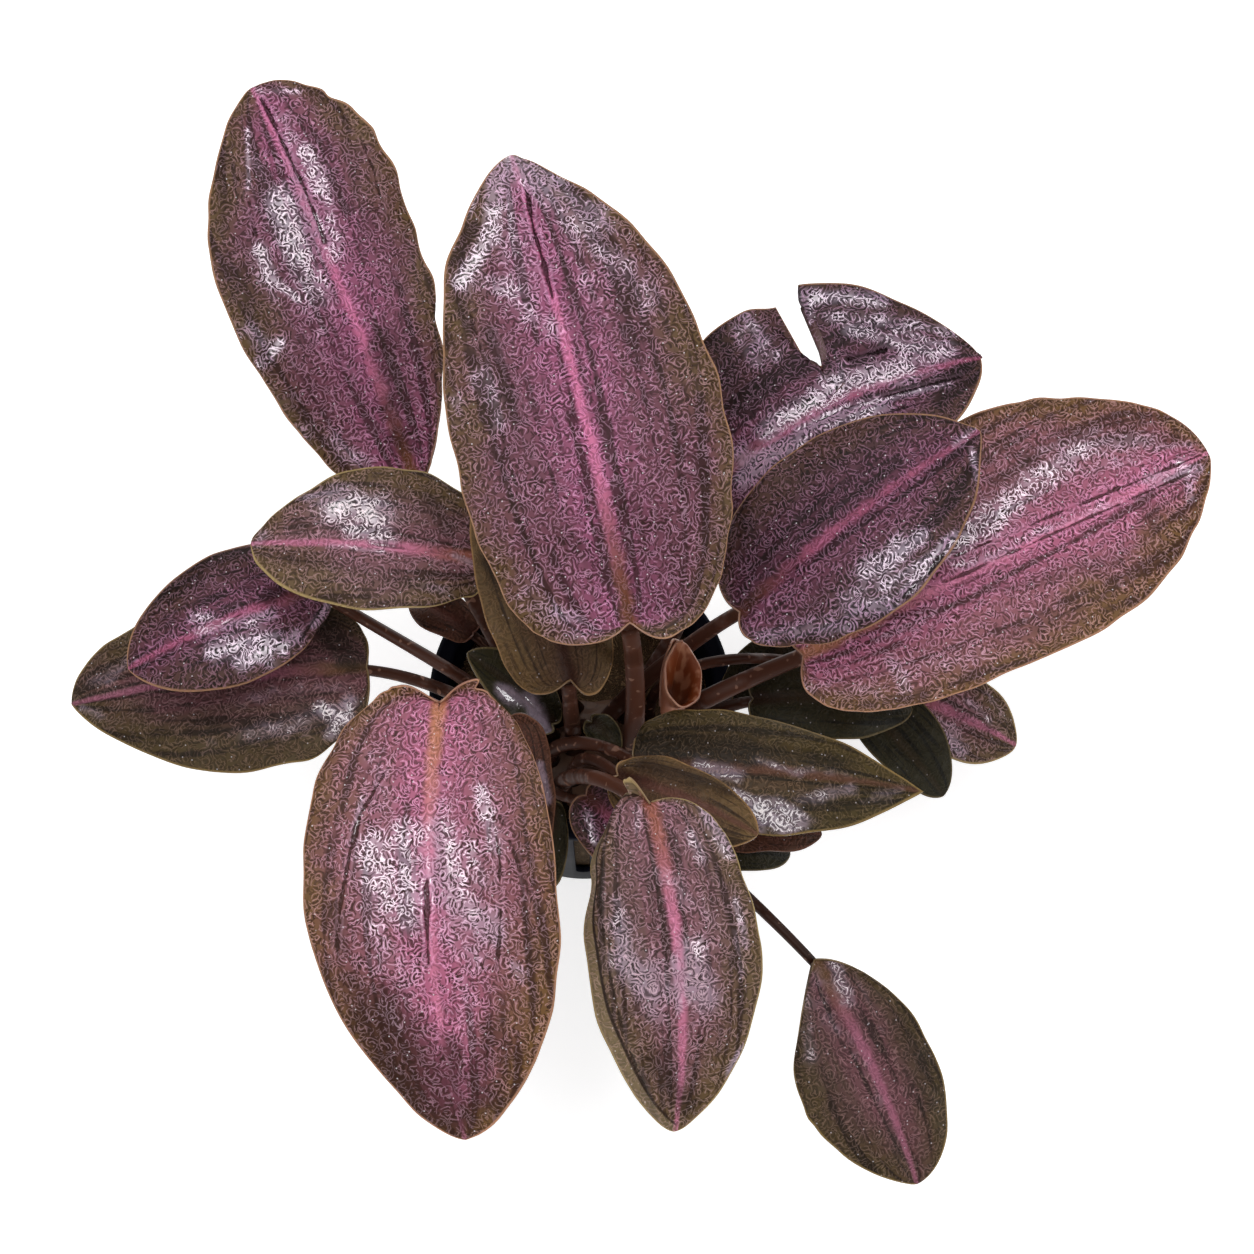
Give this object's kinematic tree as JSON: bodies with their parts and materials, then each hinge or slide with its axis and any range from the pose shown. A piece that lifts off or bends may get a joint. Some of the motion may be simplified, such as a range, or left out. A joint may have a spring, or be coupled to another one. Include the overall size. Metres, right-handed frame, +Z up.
{
  "type": "potted aquarium plant",
  "caption": "Red Lagenandra meeboldii rosette of broad quilted mauve and olive leaves on slender stalks in a small round black net pot.",
  "frame": {"origin": "centre of the pot's flat base, on the plane that the pot stands on", "axes": "+Z up along the pot's axis, -Y towards the viewer of the picture, +X to the viewer's right"},
  "size_m": [0.1822, 0.1675, 0.119],
  "materials": {
    "pot": "moulded black plastic, shiny",
    "mineral_wool": "damp brown mineral wool",
    "rhizome": "damp brown rhizome bark",
    "stalk": "smooth red-brown leaf stalk",
    "mauve_leaf": "wet glossy quilted leaf, mauve with pink midrib",
    "purple_leaf": "wet glossy quilted leaf, dark purple",
    "olive_leaf": "wet glossy quilted leaf, olive",
    "green_leaf": "wet glossy leaf, very dark green",
    "khaki_leaf": "thin translucent leaf, khaki brown",
    "red_leaf": "glossy leaf seen from its red-brown side",
    "young_leaf": "young rolled leaf, terracotta"
  },
  "bodies": {
    "root": {"pot": "pot", "growing_plug": "mineral_wool", "rhizome": "rhizome", "blade_big_centre": "mauve_leaf", "stalk_big_centre": "stalk", "blade_khaki": "khaki_leaf", "stalk_khaki": "stalk", "blade_mid_right": "mauve_leaf", "stalk_mid_right": "stalk", "blade_torn": "purple_leaf", "stalk_torn": "stalk", "blade_right_big": "mauve_leaf", "stalk_right_big": "stalk", "blade_upper_left": "mauve_leaf", "stalk_upper_left": "stalk", "blade_left_mid": "olive_leaf", "stalk_left_mid": "stalk", "blade_left_upper": "purple_leaf", "stalk_left_upper": "stalk", "blade_left_lower": "olive_leaf", "stalk_left_lower": "stalk", "blade_front_left": "mauve_leaf", "stalk_front_left": "stalk", "blade_under_front_left": "purple_leaf", "stalk_under_front_left": "stalk", "blade_glossy_left": "green_leaf", "stalk_glossy_left": "stalk", "blade_front_centre": "mauve_leaf", "stalk_front_centre": "stalk", "blade_brown": "khaki_leaf", "stalk_brown": "stalk", "blade_olive": "olive_leaf", "stalk_olive": "stalk", "blade_purple_small": "purple_leaf", "stalk_purple_small": "stalk", "blade_small_green": "green_leaf", "stalk_small_green": "stalk", "blade_strip": "green_leaf", "stalk_strip": "stalk", "blade_front_right": "olive_leaf", "stalk_front_right": "stalk", "blade_dark_right": "green_leaf", "stalk_dark_right": "stalk", "blade_dark_far": "green_leaf", "stalk_dark_far": "stalk", "blade_far_pink": "purple_leaf", "stalk_far_pink": "stalk", "blade_back_green": "green_leaf", "stalk_back_green": "stalk", "blade_dark_red": "red_leaf", "stalk_dark_red": "stalk", "blade_black_low": "green_leaf", "stalk_black_low": "stalk", "blade_rim_red": "red_leaf", "stalk_rim_red": "stalk", "blade_rolled": "young_leaf", "stalk_rolled": "stalk"}
  },
  "joints": []
}
